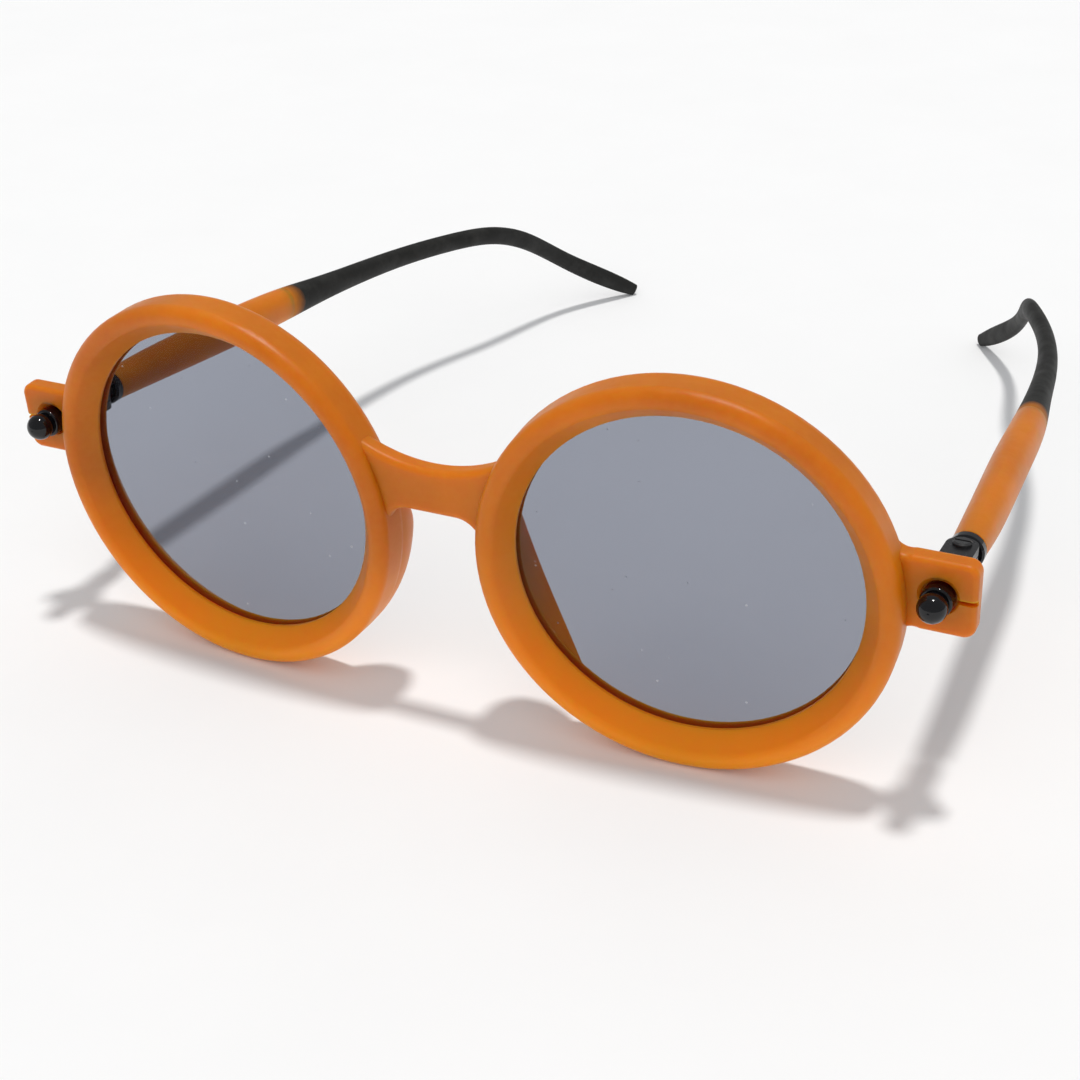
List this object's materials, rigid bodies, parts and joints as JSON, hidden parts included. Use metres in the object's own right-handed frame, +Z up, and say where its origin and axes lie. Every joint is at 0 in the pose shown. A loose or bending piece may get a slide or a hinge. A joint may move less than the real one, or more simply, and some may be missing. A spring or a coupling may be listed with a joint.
{
  "type": "round sunglasses",
  "caption": "Round-lens sunglasses with a thick moulded front, tinted lenses, ball-tipped hinge pins and folding temples with curved dark tips.",
  "frame": {"origin": "on the surface the glasses stand on, under the middle of their outline with the temples open", "axes": "+X towards the wearer's left, +Y back along the open temples, +Z up"},
  "size_m": [0.1344, 0.1488, 0.0533],
  "materials": {
    "amber_front": "translucent amber, satin matte",
    "amber_temple": "translucent amber, satin matte",
    "tinted_lens": "polished, grey-blue tint, see-through",
    "black_pin": "glossy black",
    "black_hinge": "satin black",
    "screw_black": "blackened steel",
    "nylon_washer": "natural nylon",
    "black_ferrule": "semi-gloss black",
    "charcoal_tip": "soft matte charcoal"
  },
  "bodies": {
    "front": {"front_frame": "amber_front", "left_lens": "tinted_lens", "right_lens": "tinted_lens", "left_ball_pin": "black_pin", "right_ball_pin": "black_pin", "left_front_hinge": "black_hinge", "right_front_hinge": "black_hinge", "left_hinge_screw": "screw_black", "right_hinge_screw": "screw_black", "left_upper_washer": "nylon_washer", "right_upper_washer": "nylon_washer", "left_lower_washer": "nylon_washer", "right_lower_washer": "nylon_washer"},
    "left_arm": {"left_temple_hinge": "black_hinge", "left_ferrule": "black_ferrule", "left_temple": "amber_temple", "left_temple_tip": "charcoal_tip"},
    "right_arm": {"right_temple_hinge": "black_hinge", "right_ferrule": "black_ferrule", "right_temple": "amber_temple", "right_temple_tip": "charcoal_tip"}
  },
  "joints": [
    {"name": "left_temple_fold", "type": "hinge", "parent": "front", "child": "left_arm", "pos_m": [0.06275, -0.05752, 0.02969], "axis": [0, 0.061, 0.9981], "range_deg": [0, 82]},
    {"name": "right_temple_fold", "type": "hinge", "parent": "front", "child": "right_arm", "pos_m": [-0.06275, -0.05752, 0.02969], "axis": [0, -0.061, -0.9981], "range_deg": [0, 74]}
  ]
}
